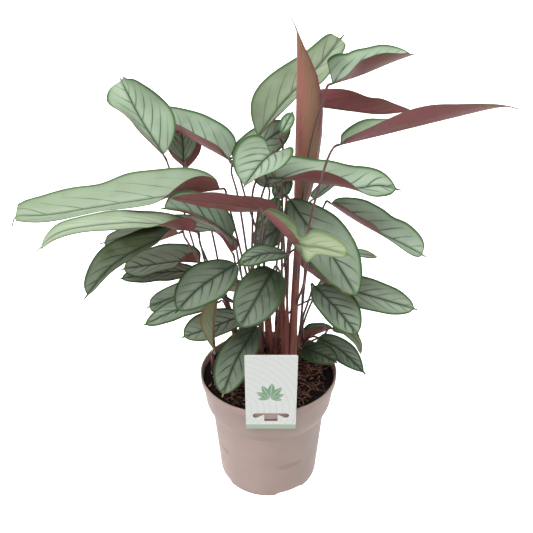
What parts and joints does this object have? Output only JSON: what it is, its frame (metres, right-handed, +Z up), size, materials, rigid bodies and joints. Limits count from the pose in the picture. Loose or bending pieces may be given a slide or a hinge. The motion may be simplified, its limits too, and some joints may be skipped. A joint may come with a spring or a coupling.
{
  "type": "potted ctenanthe plant",
  "caption": "Bushy ctenanthe with oblong silver-green, dark-veined leaves, burgundy underneath, in a tapered plastic nursery pot with a blank plant tag.",
  "frame": {"origin": "centre of the pot's foot, on the plane that the pot stands on", "axes": "+Z up along the pot's axis, -Y towards the front, where the plant tag hangs, and +X to the right as seen from the front"},
  "size_m": [0.5389, 0.3313, 0.562],
  "materials": {
    "pot_plastic": "satin taupe-pink injection-moulded plastic",
    "soil": "moist dark potting mix with bark and fibres",
    "tag_card": "white plastic card with a sage-green band",
    "stem": "smooth red-brown sheaths and petioles",
    "leaf": "satin silver-green with dark green veins, burgundy underneath",
    "young_leaf": "satin brown-burgundy, still rolled"
  },
  "bodies": {
    "root": {"pot": "pot_plastic", "soil": "soil", "plant_tag": "tag_card", "shoot_center": "stem", "shoot_left": "stem", "shoot_back_left": "stem", "shoot_rim": "stem", "shoot_front": "stem", "shoot_right": "stem", "shoot_back": "stem", "leaf_left_01": "leaf", "leaf_left_02": "leaf", "leaf_left_03": "leaf", "leaf_left_04": "leaf", "leaf_left_05": "leaf", "leaf_left_06": "leaf", "leaf_left_07": "leaf", "leaf_left_08": "leaf", "leaf_left_09": "leaf", "leaf_left_10": "leaf", "leaf_left_11": "leaf", "leaf_low_01": "leaf", "leaf_front_01": "leaf", "leaf_front_02": "leaf", "leaf_front_03": "leaf", "leaf_front_04": "leaf", "leaf_front_05": "leaf", "leaf_front_06": "leaf", "leaf_right_01": "leaf", "leaf_right_02": "leaf", "leaf_right_03": "leaf", "leaf_right_04": "leaf", "leaf_right_05": "leaf", "leaf_right_06": "leaf", "leaf_right_07": "leaf", "leaf_right_08": "leaf", "leaf_right_09": "leaf", "leaf_low_02": "leaf", "leaf_low_03": "leaf", "leaf_low_04": "leaf", "leaf_low_05": "leaf", "leaf_top_01": "leaf", "leaf_top_02": "leaf", "leaf_top_03": "leaf", "leaf_top_04": "leaf", "leaf_top_05": "leaf", "leaf_top_06": "leaf", "leaf_mid_01": "leaf", "leaf_mid_02": "leaf", "leaf_mid_03": "leaf", "leaf_back_01": "leaf", "leaf_back_02": "leaf", "leaf_back_03": "leaf", "leaf_back_04": "leaf", "leaf_back_05": "leaf", "leaf_back_06": "leaf", "leaf_rolled": "young_leaf"}
  },
  "joints": []
}
